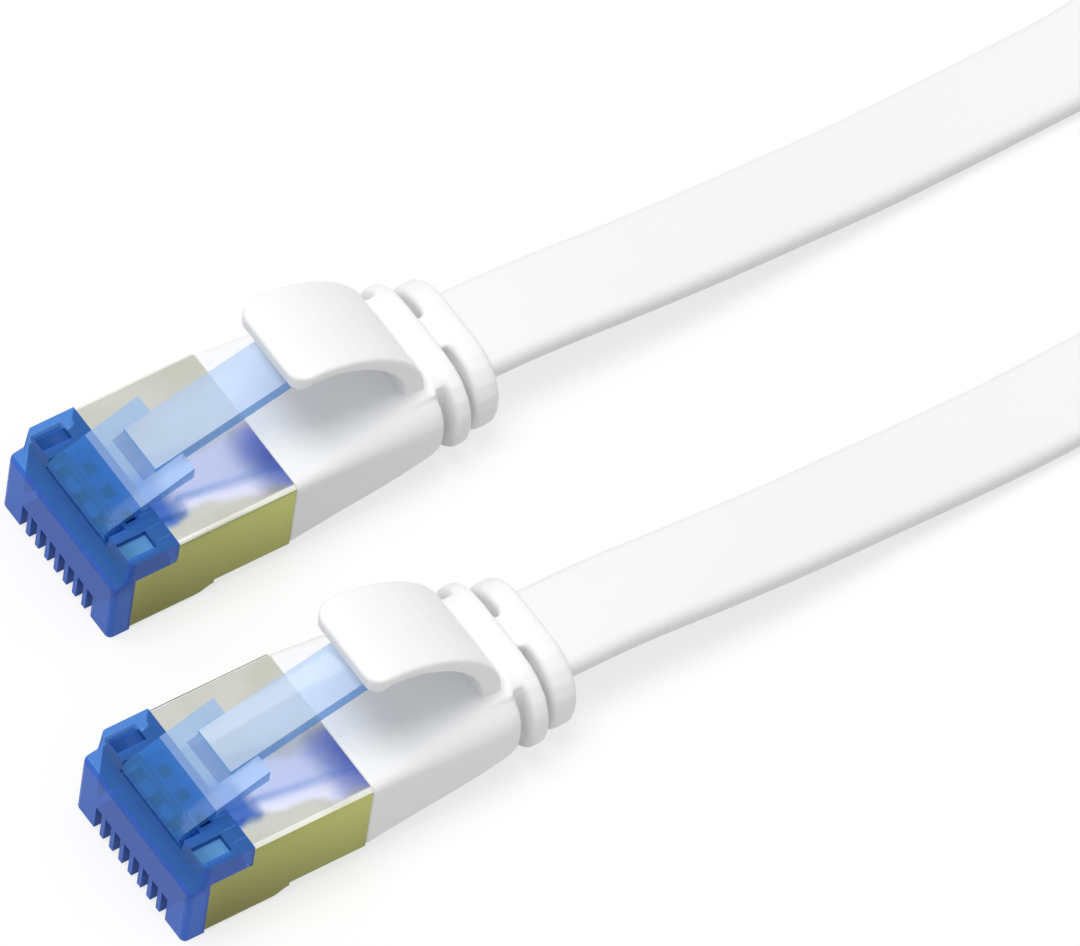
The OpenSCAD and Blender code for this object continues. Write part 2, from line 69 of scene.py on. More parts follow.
# Openings over the contacts, and the latch's seat with the pockets beside it: x, half width, z
SLOT_BOX = ((0.02, 5.7), 4.0, (0.02, 2.05))
SEAT_BOX = ((0.5, 3.3), 5.35, (5.3, 9.0))
LATCH_SEAT_HALF = 3.3
# Pierced openings over the conductors' ends: rows, size, height and the skin above the walls
PIERCED_X = (1.75, 2.85)
PIERCED_SIZE = (0.75, 0.9)
PIERCED_Z = (5.0, 7.0)
PIERCED_SKIN_Z = 6.55

# Latch: its deeply tinted root and its neck end here, and a strip of shade crosses the plate
ROOT_END = 2.05
NECK_END = 3.4
SHADE_X = (4.4, 5.2)
SHADE_HALF = 1.74
LATCH_ROUND = 0.06

# Shield: a face slopes into its bent edge, which carries a painted highlight, between these shares
# of its normal that point up
SHEET_SLOPE = 0.35
SHEET_FLAT = 0.97
# Where painted shade deepens on its sides, towards the front along x and down z
FADE_X = (12.0, 3.0)
FADE_Z = (5.5, 1.0)
# Painted reflection of the blue latch on its top: each edge's start and end, and how far the outer
# edge leans per mm of length
REFLECTION_INNER_Y = (0.2, -1.4)
REFLECTION_OUTER_Y = (-3.4, -2.5)
REFLECTION_LEAN = 0.19
REFLECTION_FRONT_X = (4.8, 7.0)
REFLECTION_DEEP_X = (10.4, 13.6)
# Painted reflection of the blue nose near the shield's front: where it fades in along x and y
NOSE_REFLECTION_X = (6.6, 5.2)
NOSE_REFLECTION_Y = (-4.7, -4.0)
REFLECTION_WANDER = 1.2

# Boot: how far its rear slot lies further ahead at each x
REAR_SLOT = ((24.9, 0.0), (26.8, 0.75), (27.45, 0.7), (28.9, 0.35))
# It fills out from this x over this length: wider by a share of y, and deeper by a share of how
# far a point lies under a level
REAR_FROM = 14.0
REAR_OVER = 10.9
REAR_WIDER = 0.11
REAR_DEEPER = 0.35
REAR_LEVEL_Z = 6.6
REAR_HEIGHT = 5.4
LOWEST_Z = 0.05
# The cable's mouth keeps its size
MOUTH_HALF = 3.6
MOUTH_Z = (3.1, 5.3)
# What closes the guard's seat and the step behind it: x from, x to and y, z outline
SEAT_FILLS = (
    (21.8, 24.1, ((-3.8, 5.6), (3.8, 5.6), (3.8, 6.6), (-3.8, 6.6))),
    (23.98, 25.4, ((-3.5, 5.2), (3.5, 5.2), (3.5, 6.6), (3.2, 6.8), (2.7, 6.97), (2.0, 7.05),
                   (-2.0, 7.05), (-2.7, 6.97), (-3.2, 6.8), (-3.5, 6.6))))


def add_object(name, data):
    """A new object in the scene that holds the data."""
    made = bpy.data.objects.new(name, data)
    bpy.context.scene.collection.objects.link(made)
    return made


def mesh_from(bm, name):
    """The finished mesh of an editable one, which is freed."""
    mesh = bpy.data.meshes.new(name)
    bm.to_mesh(mesh)
    bm.free()
    return mesh


# ---- Camera ----

VIEW_RIGHT = Vector((0.828726, -0.551536, 0.094980))
VIEW_UP = Vector((0.398100, 0.700231, 0.592616))
VIEW_WIDTH = 64.67 * MM
VIEW_DISTANCE = 1.5
# What the camera aims at, in metres to its right and up from the origin
VIEW_AIM = (0.014755, 0.009054)
SENSOR_MM = 36


def set_camera():
    """Long lens, from above and in front of the noses."""
    right = VIEW_RIGHT.normalized()
    back = right.cross(VIEW_UP).normalized()
    up = back.cross(right)
    aim = right * VIEW_AIM[0] + up * VIEW_AIM[1]
    data = bpy.data.cameras.new("product_camera")
    data.sensor_width = SENSOR_MM
    data.lens = SENSOR_MM * VIEW_DISTANCE / VIEW_WIDTH
    data.clip_start = 0.01
    data.clip_end = 20
    camera = add_object("product_camera", data)
    turn = Matrix((right, up, back)).transposed().to_4x4()
    camera.matrix_world = Matrix.Translation(aim + back * VIEW_DISTANCE) @ turn
    bpy.context.scene.camera = camera


set_camera()
bpy.context.scene.view_settings.view_transform = "Standard"

# ---- Materials ----


# What a clear face lets through on the way out
CLEAR_EXIT = "#F0F6FC"
# Painted reflection of the blue nose on the shield's top
NOSE_REFLECTION_HEX = "#6088D0"


def linear(hex_code):
    """An sRGB hex colour as linear red, green, blue and alpha."""
    parts = [int(hex_code[i:i + 2], 16) / 255 for i in (1, 3, 5)]
    return [p / 12.92 if p <= 0.04045 else ((p + 0.055) / 1.055) ** 2.4 for p in parts] + [1.0]


def add(tree, kind, settings=None, links=None):
    """Adds a node, sets its inputs or properties and links its sockets."""
    node = tree.nodes.new("ShaderNode" + kind)
    for key, value in (settings or {}).items():
        if isinstance(key, int) or key in node.inputs:
            node.inputs[key].default_value = value
        else:
            setattr(node, key, value)
    for key, socket in (links or {}).items():
        tree.links.new(socket, node.inputs[key])
    return node


def new_material(name):
    """An empty material, its node tree and its output node."""
    material = bpy.data.materials.new(name)
    material.use_nodes = True
    tree = material.node_tree
    tree.nodes.clear()
    return material, tree, add(tree, "OutputMaterial")


def moulded_white(name, hex_code, hex_shade, roughness, grain_mm, grain_depth_mm):
    """Soft PVC: white pigment through and through, with a fine texture from the tool's face."""
    material, tree, output = new_material(name)
    place = add(tree, "TexCoord").outputs["Object"]
    cloud = add(tree, "TexNoise", {"Scale": 1 / (6 * MM), "Detail": 3.0, "Roughness": 0.5},
                {"Vector": place})
    tint = add(tree, "Mix", {"data_type": "RGBA", 6: linear(hex_shade), 7: linear(hex_code)},
               {0: cloud.outputs["Fac"]})
    grain = add(tree, "TexNoise", {"Scale": 1 / (grain_mm * MM), "Detail": 2.0}, {"Vector": place})
    rough = add(tree, "MapRange", {"To Min": roughness - 0.06, "To Max": roughness + 0.06},
                {"Value": grain.outputs["Fac"]})
    bump = add(tree, "Bump", {"Distance": grain_depth_mm * MM, "Strength": 1.0},
               {"Height": grain.outputs["Fac"]})
    skin = add(tree, "BsdfPrincipled", {"IOR": 1.52, "Specular IOR Level": 0.4},
               {"Base Color": tint.outputs[2], "Roughness": rough.outputs["Result"],
                "Normal": bump.outputs["Normal"]})
    tree.links.new(skin.outputs["BSDF"], output.inputs["Surface"])
    return material


def clear_blue(name, hex_code, hex_through, body_share, roughness=0.08, specular=0.25):
    """Polycarbonate, moulded to a polish: a face shows some blue and lets the rest through."""
    material, tree, output = new_material(name)
    place = add(tree, "TexCoord").outputs["Object"]
    flow = add(tree, "TexNoise", {"Scale": 1 / (2.2 * MM), "Detail": 1.0}, {"Vector": place})
    tint = add(tree, "Mix", {"data_type": "RGBA", 6: [c * 0.9 for c in linear(hex_code)],
                             7: linear(hex_code)}, {0: flow.outputs["Fac"]})
    rough = add(tree, "MapRange", {"To Min": roughness, "To Max": roughness + 0.08},
                {"Value": flow.outputs["Fac"]})
    body = add(tree, "BsdfPrincipled", {"IOR": 1.58, "Specular IOR Level": specular},
               {"Base Color": tint.outputs[2], "Roughness": rough.outputs["Result"]})
    leaving = add(tree, "NewGeometry").outputs["Backfacing"]
    passed = add(tree, "Mix", {"data_type": "RGBA", 6: linear(hex_through),
                               7: linear(CLEAR_EXIT)}, {0: leaving})
    through = add(tree, "BsdfTransparent", None, {"Color": passed.outputs[2]})
    share = add(tree, "MapRange", {"To Min": body_share, "To Max": 0.0}, {"Value": leaving})
    surface = add(tree, "MixShader", None,
                  {0: share.outputs["Result"], 1: through.outputs["BSDF"],
                   2: body.outputs["BSDF"]})
    tree.links.new(surface.outputs["Shader"], output.inputs["Surface"])
    return material


def plated_sheet(name, hex_code, hex_cloud_and_shade, roughness, hex_reflection=None, painted_fade=False):
    """Nickel-plated brass sheet, drawn bright: cloudy, or with painted shade deepening to the
    front and down.

    A painted reflection of the blue latch and nose tints it where its two colours are given.
    """
    material, tree, output = new_material(name)
    place = add(tree, "TexCoord").outputs["Object"]
    cloud = add(tree, "TexNoise", {"Scale": 1 / (3.5 * MM), "Detail": 2.0}, {"Vector": place})
    # Painted shade: darker towards the front and down the side
    if painted_fade:
        along = add(tree, "Attribute", {"attribute_name": "plug_x"}).outputs["Fac"]
        height = add(tree, "SeparateXYZ", None, {0: place}).outputs["Z"]
        ahead = add(tree, "MapRange", {"From Min": FADE_X[0] * MM, "From Max": FADE_X[1] * MM,
                                       "To Max": 0.5}, {"Value": along})
        low = add(tree, "MapRange", {"From Min": FADE_Z[0] * MM, "From Max": FADE_Z[1] * MM,
                                     "To Max": 0.5}, {"Value": height})
        share = add(tree, "Math", {"operation": "ADD"},
                    {0: ahead.outputs["Result"], 1: low.outputs["Result"]})
    else:
        share = add(tree, "MapRange", {"From Min": 0.35, "From Max": 0.65},
                    {"Value": cloud.outputs["Fac"]})
    tint = add(tree, "Mix", {"data_type": "RGBA", 6: linear(hex_code), 7: linear(hex_cloud_and_shade)},
               {0: share.outputs[0]})
    # Painted reflections of the blue latch and nose on the nickel
    if hex_reflection:
        tint = painted_reflection_tint(tree, tint, cloud, hex_reflection)
    drawn = add(tree, "Mapping", {"Scale": (1, 6, 6)}, {"Vector": place})
    brush = add(tree, "TexNoise", {"Scale": 1 / (0.9 * MM), "Detail": 4.0},
                {"Vector": drawn.outputs["Vector"]})
    rough = add(tree, "MapRange", {"To Min": roughness, "To Max": roughness + 0.1},
                {"Value": brush.outputs["Fac"]})
    bump = add(tree, "Bump", {"Distance": 0.002 * MM, "Strength": 0.6},
               {"Height": brush.outputs["Fac"]})
    metal = add(tree, "BsdfPrincipled", {"Metallic": 1.0},
                {"Base Color": tint.outputs[2], "Roughness": rough.outputs["Result"],
                 "Normal": bump.outputs["Normal"]})
    tree.links.new(metal.outputs["BSDF"], output.inputs["Surface"])
    return material


def painted_reflection_tint(tree, tint, cloud, hex_reflection):
    """Lays the painted reflection of the blue latch on one side of the lever, deepest at the rear
    edge, and a painted reflection of the blue nose near the front on the near side.
    """
    def ramp(name, edge, lean=0.0):
        """A soft step along a plug's x or y, on an edge that wanders a little."""
        across = add(tree, "Attribute", {"attribute_name": name}).outputs["Fac"]
        along = add(tree, "Attribute", {"attribute_name": "plug_x"}).outputs["Fac"]
        value = add(tree, "Math", {"operation": "MULTIPLY_ADD", 1: lean},
                    {0: along, 2: across}).outputs["Value"]
        wander = add(tree, "MapRange", {"To Min": -REFLECTION_WANDER * MM, "To Max": REFLECTION_WANDER * MM},
                     {"Value": cloud.outputs["Fac"]})
        moved = add(tree, "Math", {"operation": "ADD"}, {0: value, 1: wander.outputs["Result"]})
        return add(tree, "MapRange", {"interpolation_type": "SMOOTHSTEP", "From Min": edge[0] * MM,
                                      "From Max": edge[1] * MM},
                   {"Value": moved.outputs["Value"]})

    def product(a, b):
        """Where both shares hold."""
        return add(tree, "Math", {"operation": "MULTIPLY"}, {0: a.outputs[0], 1: b.outputs[0]})

    inner, outer = ramp("plug_y", REFLECTION_INNER_Y), ramp("plug_y", REFLECTION_OUTER_Y, REFLECTION_LEAN)
    front, beside = ramp("plug_x", NOSE_REFLECTION_X), ramp("plug_y", NOSE_REFLECTION_Y)
    ahead, deep = ramp("plug_x", REFLECTION_FRONT_X), ramp("plug_x", REFLECTION_DEEP_X)
    patch = product(product(inner, outer), ahead)
    reflection = add(tree, "Mix", {"data_type": "RGBA", 6: linear(hex_reflection[0]), 7: linear(hex_reflection[1])},
               {0: deep.outputs["Result"]})
    nose_reflection = product(product(front, beside), inner)
    spread = add(tree, "Mix", {"data_type": "RGBA"},
                 {0: patch.outputs["Value"], 6: tint.outputs[2], 7: reflection.outputs[2]})
    return add(tree, "Mix", {"data_type": "RGBA", 7: linear(NOSE_REFLECTION_HEX)},
               {0: nose_reflection.outputs["Value"], 6: spread.outputs[2]})


def gold_plating(name):
    """Gold over nickel on stamped phosphor bronze: yellow metal with stamping lines."""
    material, tree, output = new_material(name)
    place = add(tree, "TexCoord").outputs["Object"]
    lines = add(tree, "TexNoise", {"Scale": 1 / (0.25 * MM), "Detail": 3.0}, {"Vector": place})
    rough = add(tree, "MapRange", {"To Min": 0.18, "To Max": 0.32},
                {"Value": lines.outputs["Fac"]})
    metal = add(tree, "BsdfPrincipled", {"Metallic": 1.0, "Base Color": linear("#E8C25A")},
                {"Roughness": rough.outputs["Result"]})
    tree.links.new(metal.outputs["BSDF"], output.inputs["Surface"])
    return material


def wire_insulation(name, hex_code):
    """Extruded polyethylene round a conductor: glossy, with a faint drawn texture."""
    material, tree, output = new_material(name)
    place = add(tree, "TexCoord").outputs["Object"]
    drawn = add(tree, "TexNoise", {"Scale": 1 / (0.5 * MM), "Detail": 2.0}, {"Vector": place})
    rough = add(tree, "MapRange", {"To Min": 0.25, "To Max": 0.4}, {"Value": drawn.outputs["Fac"]})
    skin = add(tree, "BsdfPrincipled", {"Base Color": linear(hex_code), "IOR": 1.51},
               {"Roughness": rough.outputs["Result"]})
    tree.links.new(skin.outputs["BSDF"], output.inputs["Surface"])
    return material


BOOT_PVC = moulded_white("boot_soft_pvc_moulded", "#F5F5F5", "#F2F2F2", 0.42, 0.35, 0.005)
JACKET_PVC = moulded_white("jacket_pvc_extruded", "#F1F1F1", "#EFEFEF", 0.45, 0.4, 0.003)
TIE_NYLON = moulded_white("tie_nylon_band", "#E2E2E2", "#DCDCDC", 0.5, 0.3, 0.006)
NOSE_BLUE = clear_blue("housing_polycarbonate_blue", "#3E78CC", "#6FA6EC", 0.62, 0.08, 0.12)
NOSE_SIDE = clear_blue("housing_polycarbonate_thick", "#3868CE", "#4A84DC", 0.86, 0.08, 0.1)
NOSE_THIN = clear_blue("housing_polycarbonate_thin", "#70B4F0", "#B4D6F8", 0.7)
# Painted shade: dark, nearly opaque blue on the walls and floors of the pierced openings
NOSE_PIT_SHADE = clear_blue("housing_polycarbonate_pit_painted_shade", "#143A92", "#2C5CB4", 0.95)
# Painted shade: a darker, duller blue on the walls inside the comb's slots
NOSE_SLOT = clear_blue("housing_polycarbonate_slot_painted_shade", "#3A60B6", "#4A78CC", 0.88, 0.2, 0.05)
# Painted shade: a darker blue on the far half of the nose's top
NOSE_DARK = clear_blue("housing_polycarbonate_far_top_painted_shade", "#3262B2", "#4A80D0", 0.8, 0.08, 0.1)
NOSE_SEAT = clear_blue("housing_polycarbonate_seat", "#4A86CC", "#86B6EE", 0.6, 0.08, 0.1)
LATCH_BLUE = clear_blue("latch_polycarbonate_pale", "#C6DCFE", "#EAF3FF", 0.56)
LATCH_SIDE = clear_blue("latch_polycarbonate_thick", "#7CB0F6", "#A4CAF4", 0.6)
LATCH_NECK = clear_blue("latch_polycarbonate_neck", "#4E9EF0", "#A0CEFA", 0.38)
LATCH_ROOT = clear_blue("latch_polycarbonate_root", "#56A4EC", "#B4DAFC", 0.34)
LATCH_SHADE = clear_blue("latch_polycarbonate_shade", "#84A4DE", "#C0D4F4", 0.6)
LATCH_PLATE = clear_blue("latch_polycarbonate_plate", "#A6CAF8", "#DCEAFF", 0.5)
# Painted light: the lever's underside is paler and clearer than the lever, which brightens its
# reflection in the shield
LATCH_CLEAR = clear_blue("latch_polycarbonate_under_painted_light", "#B8CEF8", "#EEF2FF", 0.2)
BAR_BLUE = clear_blue("load_bar_polycarbonate", "#8FBDF0", "#A9CCF6", 0.8, 0.2)
# Nickel top, with a painted reflection of the blue latch and of the blue nose laid on it
SHEET_TOP = plated_sheet("shield_nickel_plated_top", "#D0D1CA", "#C8C9BE", 0.14,
                         ("#E9EAFF", "#8C9EF8"))
# Painted highlight: a brighter copy of the nickel on the bent edges and the front edge
SHEET_EDGE = plated_sheet("shield_edge_painted_highlight", "#F2F2EA", "#E4E4DA", 0.2)
# Sides: a painted olive reflection, with painted shade deepening to the front and down
SHEET_SIDE = plated_sheet("shield_side_painted_reflection_and_shade", "#ACB064", "#747236", 0.3, None, True)
GOLD = gold_plating("contact_gold_plated")
# Conductors in the order of their contacts
WIRE_HEX = ("#EFCFA0", "#E07A28", "#CDE3C8", "#2A4FC0",
            "#BCCDEB", "#2B8A4A", "#D2BFA6", "#6A4326")
WIRES = [wire_insulation("conductor_insulation_%d" % (i + 1), h) for i, h in enumerate(WIRE_HEX)]

# ---- Flat cable ----

CABLE_WIDTH = 6.6 * MM
CABLE_THICKNESS = 1.7 * MM
# How round its narrow edges are, as a share of half its thickness
CABLE_ROUND = 0.86
# Height of its middle in the boot, and where it starts behind the nose's front
CABLE_HEIGHT = 4.2 * MM
JACKET_START = 16.2 * MM
# Middle of the hank's round end near the plugs, the outer radius and the length between the ends
HANK_LEFT = Vector((0.100, 0.001, 0))
HANK_RADIUS = 0.0205
HANK_RUN = 0.047
# How far the band draws the middle in, and how far each loop lies inside the one before
WAIST = 0.008
LOOP_PITCH = 0.0028
# Steps along a straight side, a round end, a whole loop and the hank, and where it turns back
SIDE_STEPS = 4
END_STEPS = 8
LOOP_STEPS = 2 * (SIDE_STEPS + END_STEPS)
HANK_STEPS = 90
TURN_BACK = 39
LAYER_Z = (0.00395, 0.01125)
# Straight leads into and out of the hank
HANK_LEAD = 0.007
LEAD_STEPS = 4
# Points to each step of the hank, and to each stretch of a run inside and outside the boot
FINE = 4
BOOT_STEPS = 6
RUN_STEPS = 4

# Centre line of each run from its plug to the hank: x, y, z in metres and twist in degrees
RUN_A = ((0.024, 0.0104, 0.0040, 0), (0.030, 0.0103, 0.0035, 0), (0.036, 0.0104, 0.0028, 0),
         (0.042, 0.0107, 0.0020, 0), (0.048, 0.0109, 0.0014, 0), (0.054, 0.0112, 0.0010, 0),
         (0.060, 0.0114, 0.0009, 0), (0.066, 0.0116, 0.0010, 2), (0.070, 0.0121, 0.0015, 15),
         (0.074, 0.0130, 0.0023, 34), (0.078, 0.0142, 0.0031, 56), (0.082, 0.0157, 0.0036, 75))
RUN_B = ((0.016, -0.0104, 0.0040, 0), (0.022, -0.0105, 0.0035, 0), (0.028, -0.0104, 0.0028, 0),
         (0.034, -0.0101, 0.0020, 0), (0.040, -0.0099, 0.0014, 0), (0.046, -0.0097, 0.0010, 0),
         (0.053, -0.0094, 0.0009, 0), (0.058, -0.0094, 0.0012, 4), (0.062, -0.0095, 0.0019, 12),
         (0.066, -0.0098, 0.0030, 24), (0.070, -0.0104, 0.0046, 40), (0.074, -0.0115, 0.0066, 57),
         (0.078, -0.0130, 0.0088, 73), (0.082, -0.0150, 0.0105, 85))


def hank_point(k):
    """Centre line of the hank after k steps: in on the lower layer, out on the upper one."""
    u = (k - 1) % LOOP_STEPS
    half = SIDE_STEPS + END_STEPS
    if u < SIDE_STEPS:
        along, angle = u / SIDE_STEPS, 90
    elif u < half:
        along, angle = 1, 90 - 180 * (u - SIDE_STEPS) / END_STEPS
    elif u < half + SIDE_STEPS:
        along, angle = 1 - (u - half) / SIDE_STEPS, -90
    else:
        along, angle = 0, 270 - 180 * (u - half - SIDE_STEPS) / END_STEPS
    radius = HANK_RADIUS - LOOP_PITCH * (TURN_BACK - abs(k - TURN_BACK)) / LOOP_STEPS
    radius -= WAIST * math.sin(math.pi * along) ** 2
    rise = min(max((k - TURN_BACK) / SIDE_STEPS + 0.5, 0), 1)
    rise = rise * rise * (3 - 2 * rise)
    turn = math.radians(angle)
    return HANK_LEFT + Vector((along * HANK_RUN + radius * math.cos(turn), radius * math.sin(turn),
                               LAYER_Z[0] + (LAYER_Z[1] - LAYER_Z[0]) * rise))


def hank_ahead(k):
    """Level direction of the hank's centre line after k steps."""
    step = hank_point(k + 0.01) - hank_point(k - 0.01)
    return Vector((step.x, step.y, 0)).normalized()


def run_stations(side, run, hank_end):
    """Smooth points and twists from inside a boot to the hank's lead."""
    origin = PLUG_ORIGIN[side]
    height = Vector((0, 0, CABLE_HEIGHT))
    knots = [(origin + Vector((JACKET_START, 0, 0)) + height, 0.0),
             (origin + Vector((PLUG_LENGTH, 0, 0)) + height, 0.0)]
    knots += [(Vector(q[:3]), float(q[3])) for q in run] + [(hank_end, 90.0)]
    stations = []
    for i in range(len(knots) - 1):
        before, here = knots[max(i - 1, 0)], knots[i]
        after, beyond = knots[i + 1], knots[min(i + 2, len(knots) - 1)]
        if not i:
            stations += [(here[0].lerp(after[0], k / BOOT_STEPS), 0.0) for k in range(BOOT_STEPS)]
            continue
        for k in range(RUN_STEPS):
            stations.append(tuple(catmull(*knot, k / RUN_STEPS)
                                  for knot in zip(before, here, after, beyond)))
    return stations


def catmull(a, b, c, d, f):
    """Catmull-Rom curve from b to c."""
    return (b * 2 + (c - a) * f + (a * 2 - b * 5 + c * 4 - d) * f * f
            + (b * 3 - a - c * 3 + d) * f * f * f) * 0.5


def cable_stations():
    """The whole cable from boot to boot as centre points and twists."""
    start, end = hank_point(0), hank_point(HANK_STEPS)
    lead_in, lead_out = HANK_LEAD * hank_ahead(0), HANK_LEAD * hank_ahead(HANK_STEPS)
    first = run_stations("a", RUN_A, start - lead_in)
    last = run_stations("b", RUN_B, end + lead_out)
    lead = [(start - lead_in * (1 - k / LEAD_STEPS), 90.0) for k in range(LEAD_STEPS)]
    hank = [(hank_point(k / FINE), 90.0) for k in range(HANK_STEPS * FINE + 1)]
    tail = [(end + lead_out * (k / LEAD_STEPS), 90.0) for k in range(1, LEAD_STEPS + 1)]
    return first + lead + hank + tail + [(p, 180.0 - t) for p, t in reversed(last)]


def jacket_outline():
    """The jacket's section: a slim oval as pairs across its width and its thickness."""
    half_w, half_t = CABLE_WIDTH / 2, CABLE_THICKNESS / 2
    corner = half_t * CABLE_ROUND
    outline = []
    for sx, sy, start in ((1, 1, 0), (-1, 1, 90), (-1, -1, 180), (1, -1, 270)):
        for k in range(5):
            a = math.radians(start + 22.5 * k)
            outline.append((sx * (half_w - corner) + corner * math.cos(a),
                            sy * (half_t - corner) + corner * math.sin(a)))
    return outline


def closed_loop(bm, verts):
    """Edges round the points, from the last back to the first."""
    return [bm.edges.new((verts[i], verts[(i + 1) % len(verts)])) for i in range(len(verts))]


def route_ahead(stations, n):
    """Direction of the route at a station: straight along x inside both boots."""
    last = len(stations) - 1
    if n <= BOOT_STEPS:
        return Vector((1, 0, 0))
    if n >= last - BOOT_STEPS:
        return Vector((-1, 0, 0))
    return (stations[n + 1][0] - stations[n - 1][0]).normalized()


def order_along(bm):
    """Sorts edges and faces by their points, since extruding leaves them in any order."""
    bm.verts.index_update()
    for sequence in (bm.edges, bm.faces):
        sequence.sort(key=lambda part: max(v.index for v in part.verts) * len(bm.verts)
                      + min(v.index for v in part.verts))


def flat_cable(band):
    """One jacket from boot to boot: an oval outline extruded along the route."""
    stations = cable_stations()
    outline = jacket_outline()
    bm = bmesh.new()
    across = bm.verts.layers.float.new("across")
    along = bm.verts.layers.float.new("along")
    verts = [bm.verts.new((0, 0, 0)) for _ in outline]
    edges = closed_loop(bm, verts)
    travelled = 0.0
    first_loop = verts
    for n, (point, twist) in enumerate(stations):
        ahead = route_ahead(stations, n)
        side = Vector((0, 0, 1)).cross(ahead).normalized()
        up = ahead.cross(side)
        turn = math.radians(twist)
        wide = side * math.cos(turn) + up * math.sin(turn)
        thin = ahead.cross(wide)
        if n:
            travelled += (point - stations[n - 1][0]).length
            made = bmesh.ops.extrude_edge_only(bm, edges=edges)["geom"]
            moved = {v for v in made if isinstance(v, bmesh.types.BMVert)}
            edges = [e for e in made if isinstance(e, bmesh.types.BMEdge)]
            verts = [next(e.other_vert(v) for e in v.link_edges if e.other_vert(v) in moved)
                     for v in verts]
        for v, (u, t) in zip(verts, outline):
            v.co = point + wide * u + thin * t
            v[across] = u
            v[along] = travelled
    bmesh.ops.contextual_create(bm, geom=first_loop)
    bmesh.ops.contextual_create(bm, geom=verts)
    order_along(bm)
    bmesh.ops.recalc_face_normals(bm, faces=bm.faces)
    cable = finish_piece(bm, "flat_cable", JACKET_PVC, "cable_assembly",
                         ["cable_run_a", "cable_hank", "cable_run_b"], 40)


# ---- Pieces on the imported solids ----


def finish_piece(bm, name, material, body, nodes, sharp_deg):
    """Makes the mesh an object that rides on a body and stands for its solids."""
    mesh = mesh_from(bm, name)
    mesh.shade_smooth()
    mesh.set_sharp_from_angle(angle=math.radians(sharp_deg))
    mesh.materials.append(material)
    piece = add_object(name, mesh)
    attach(piece, body)
    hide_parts(*nodes)
    return piece


def solid_copy(node):
    """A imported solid's mesh with its loose triangles joined into whole faces."""
    bm = bmesh.new()
    bm.from_mesh(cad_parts[node].data)
    bmesh.ops.remove_doubles(bm, verts=bm.verts, dist=1e-6)
    bmesh.ops.dissolve_limit(bm, angle_limit=math.radians(0.5), verts=bm.verts, edges=bm.edges)
    return bm


def soften_edges(bm, width, sharp_deg=30, keep=lambda edge: True):
    """Rounds the solid's outward edges as a mould or press leaves them."""
    edges = [e for e in bm.edges if len(e.link_faces) == 2
             and e.calc_face_angle_signed() > math.radians(sharp_deg) and keep(e)]
    bmesh.ops.bevel(bm, geom=edges, offset=width, offset_type="OFFSET", segments=3, profile=0.5,
                    affect="EDGES", clamp_overlap=True, material=-1)


def soft_moulding(node, name, body, voxel_mm, rounds, extra=None):
    """A soft moulded piece: the solid with all its edges and inner corners run into each other.

    What extra does to the solid's mesh comes first.
    """
    bm = bmesh.new()
    bm.from_mesh(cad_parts[node].data)
    bmesh.ops.remove_doubles(bm, verts=bm.verts, dist=1e-6)
    if extra:
        extra(bm)
    piece = finish_piece(bm, name, BOOT_PVC, body, [node], 180)
    remesh = piece.modifiers.new("moulding", "REMESH")
    remesh.mode = "VOXEL"
    remesh.voxel_size = voxel_mm * MM
    remesh.use_smooth_shade = True
    smooth = piece.modifiers.new("soft_edges", "SMOOTH")
    smooth.factor = 0.5
    smooth.iterations = rounds
    freeze(piece)
    piece.data.shade_smooth()


def tone_faces(piece, tones, origin):
    """Gives faces the first tone whose test they pass, from their normal and plug-local centre."""
    for material, _ in tones:
        piece.data.materials.append(material)
    for face in piece.data.polygons:
        for index, (_, picked) in enumerate(tones):
            if picked(face.normal, (face.center - origin) / MM):
                face.material_index = index + 1
                break


def pit_middles():
    """Middles in x and y of the six pierced openings, in two staggered rows."""
    return [(PIERCED_X[i % 2], (i - 3.5) * CONTACT_PITCH) for i in range(1, 7)]


def pierce(nose, origin):
    """Cuts the square openings over the conductors' ends."""
    bm = bmesh.new()
    low, high = PIERCED_Z
    for x, y in pit_middles():
        pit = bmesh.ops.create_cube(bm, size=MM)["verts"]
        bmesh.ops.scale(bm, verts=pit, vec=(*PIERCED_SIZE, high - low))
        bmesh.ops.translate(bm, verts=pit, vec=origin + Vector((x, y, (low + high) / 2)) * MM)
    cutter = add_object("pit_cutter", mesh_from(bm, "pit_cutter"))
    cut = nose.modifiers.new("pits", "BOOLEAN")
    cut.operation = "DIFFERENCE"
    cut.object = cutter
    freeze(nose)
    bpy.data.objects.remove(cutter)
    nose.data.shade_smooth()
    nose.data.set_sharp_from_angle(angle=math.radians(NOSE_CREASE))


def freeze(piece):
    """Applies the piece's modifiers to its mesh."""
    shaped = bpy.data.meshes.new_from_object(
        piece.evaluated_get(bpy.context.evaluated_depsgraph_get()))
    piece.modifiers.clear()
    piece.data = shaped


def fill_out(bm, side):
    """Keeps the boot's width and depth further to the rear, with its rear slot further ahead."""
    fill_seat(bm, side)
    for vert in bm.verts:
        at = (vert.co - PLUG_ORIGIN[side]) / MM
        reach = min(max((at.x - REAR_FROM) / REAR_OVER, 0.0), 1.0)
        reach *= reach * (3 - 2 * reach)
        for (x0, back0), (x1, back1) in zip(REAR_SLOT, REAR_SLOT[1:]):
            if x0 < at.x <= x1 + NEAR:
                vert.co.x -= (back0 + (back1 - back0) * (at.x - x0) / (x1 - x0)) * MM
        if abs(at.y) < MOUTH_HALF and MOUTH_Z[0] < at.z < MOUTH_Z[1]:
            continue
        vert.co.y += REAR_WIDER * reach * at.y * MM
        if at.z < REAR_LEVEL_Z:
            low = at.z - REAR_DEEPER * reach * (REAR_LEVEL_Z - at.z) / REAR_HEIGHT
            vert.co.z = PLUG_ORIGIN[side].z + max(low, LOWEST_Z) * MM


